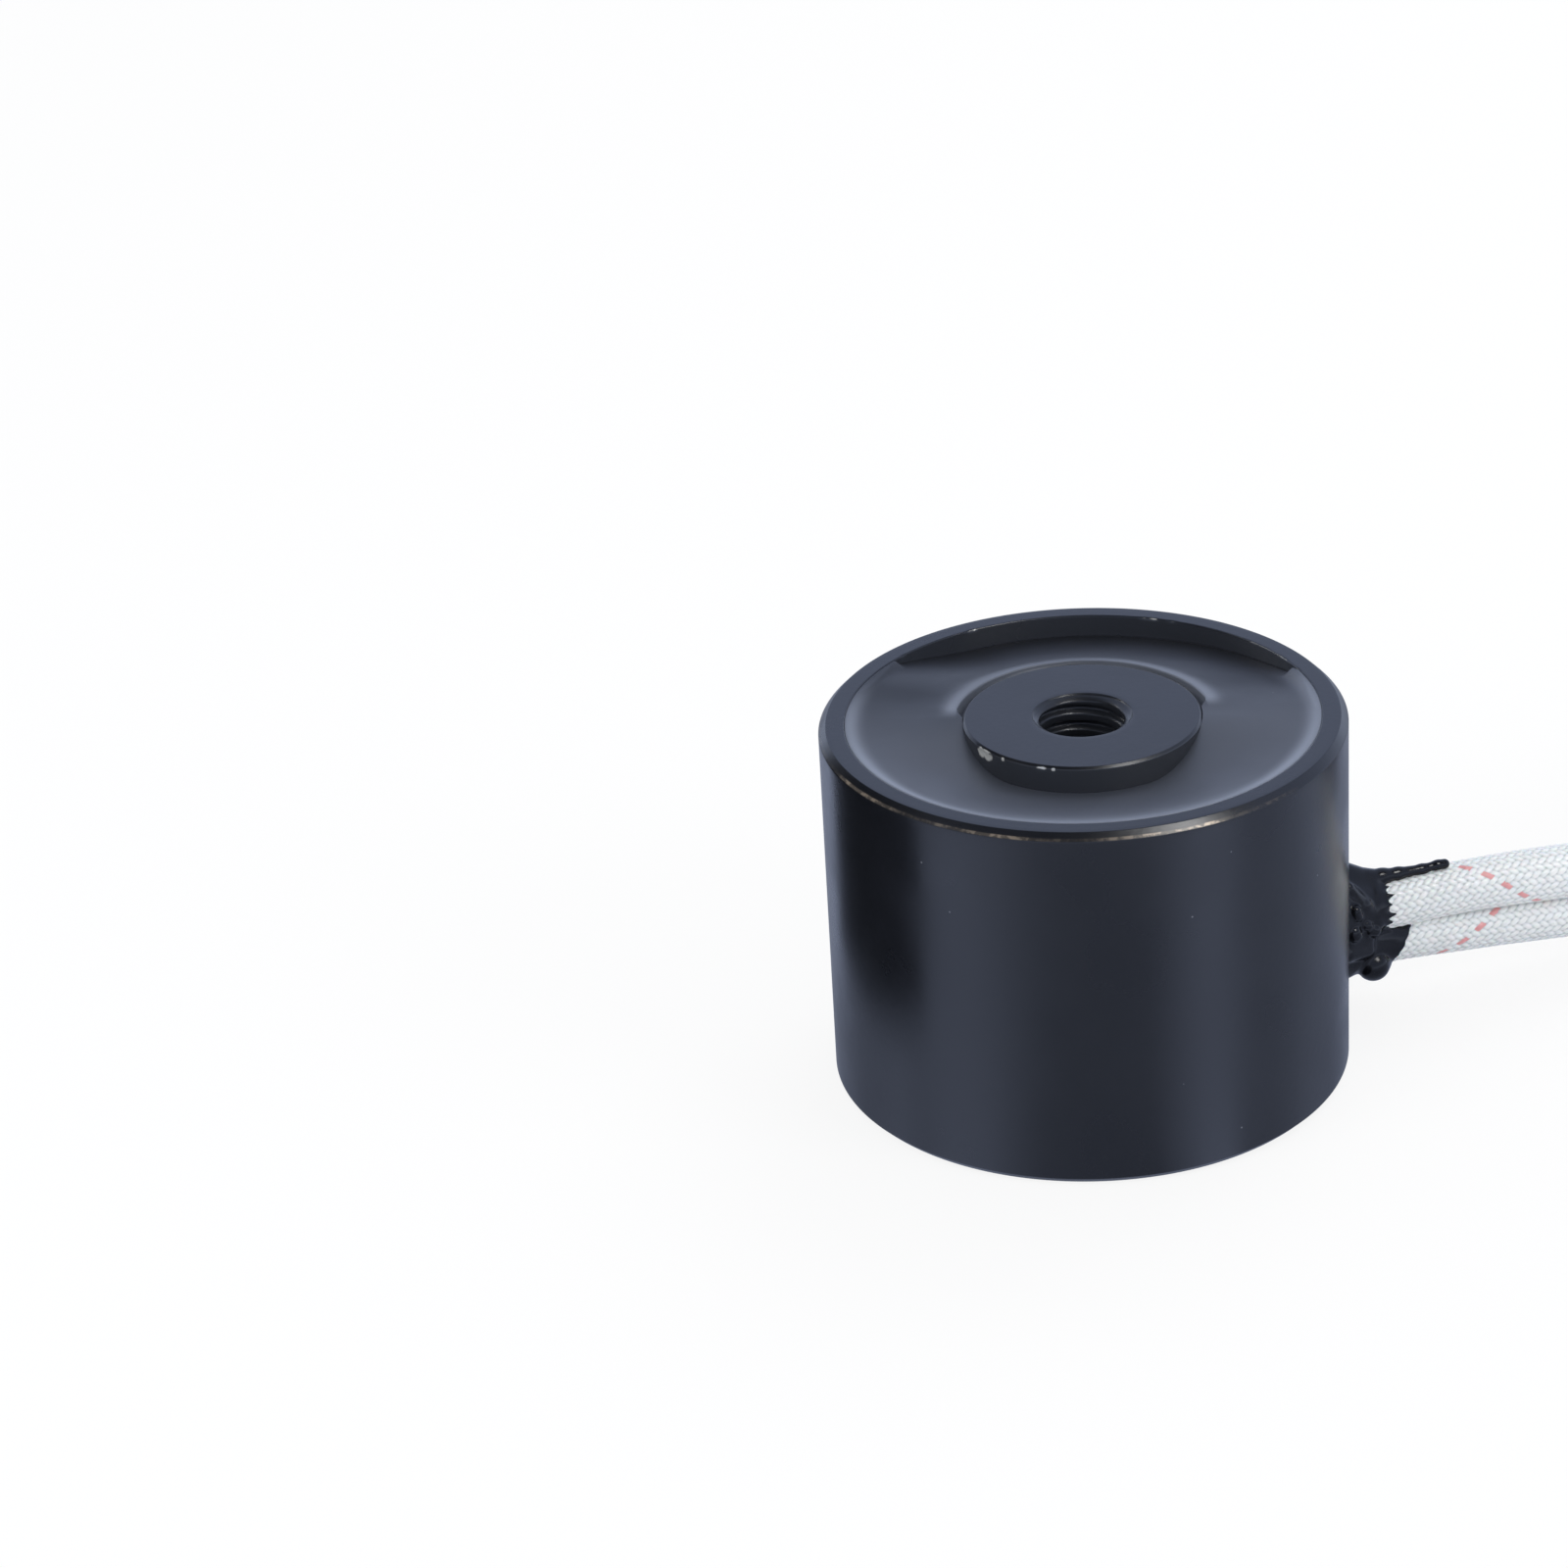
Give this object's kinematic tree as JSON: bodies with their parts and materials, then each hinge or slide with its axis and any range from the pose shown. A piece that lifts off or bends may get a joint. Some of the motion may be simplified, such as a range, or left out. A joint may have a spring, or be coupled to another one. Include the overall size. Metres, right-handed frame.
{
  "type": "holding electromagnet",
  "caption": "Round steel pot electromagnet with a tapped centre core, a resin-potted coil and sleeved leads that leave its side wall near the closed end.",
  "frame": {"origin": "centre of the flat closed end, on the pot's axis", "axes": "+Z along the axis towards the pole face, +X towards the lead outlet"},
  "size_m": [0.0765, 0.03, 0.022],
  "materials": {
    "shell_steel": "satin black electrocoat on steel",
    "core_steel": "satin grey-black electrocoat on steel",
    "bobbin_nylon": "natural nylon",
    "winding_copper": "enamelled copper wire",
    "tape_polyester": "yellow polyester tape",
    "coil_end_copper": "enamelled copper wire",
    "potting_resin": "satin-gloss black casting resin",
    "sealant_resin": "glossy black sealant",
    "sleeve_fibreglass": "braided glass fibre with a red tracer",
    "lead_jacket": "black flexible jacket",
    "solder": "tin solder",
    "tinned_copper": "tinned copper strands"
  },
  "bodies": {
    "root": {"shell": "shell_steel", "centre_core": "core_steel", "bobbin": "bobbin_nylon", "coil_winding": "winding_copper", "coil_tape": "tape_polyester", "coil_start_wire": "coil_end_copper", "coil_finish_wire": "coil_end_copper", "potting": "potting_resin", "outlet_sealant": "sealant_resin", "upper_sleeve": "sleeve_fibreglass", "upper_lead": "lead_jacket", "upper_lead_coil": "lead_jacket", "upper_solder_joint": "solder", "upper_stripped_end": "tinned_copper", "upper_tinned_end": "tinned_copper", "lower_sleeve": "sleeve_fibreglass", "lower_lead": "lead_jacket", "lower_lead_coil": "lead_jacket", "lower_solder_joint": "solder", "lower_stripped_end": "tinned_copper", "lower_tinned_end": "tinned_copper"}
  },
  "joints": []
}
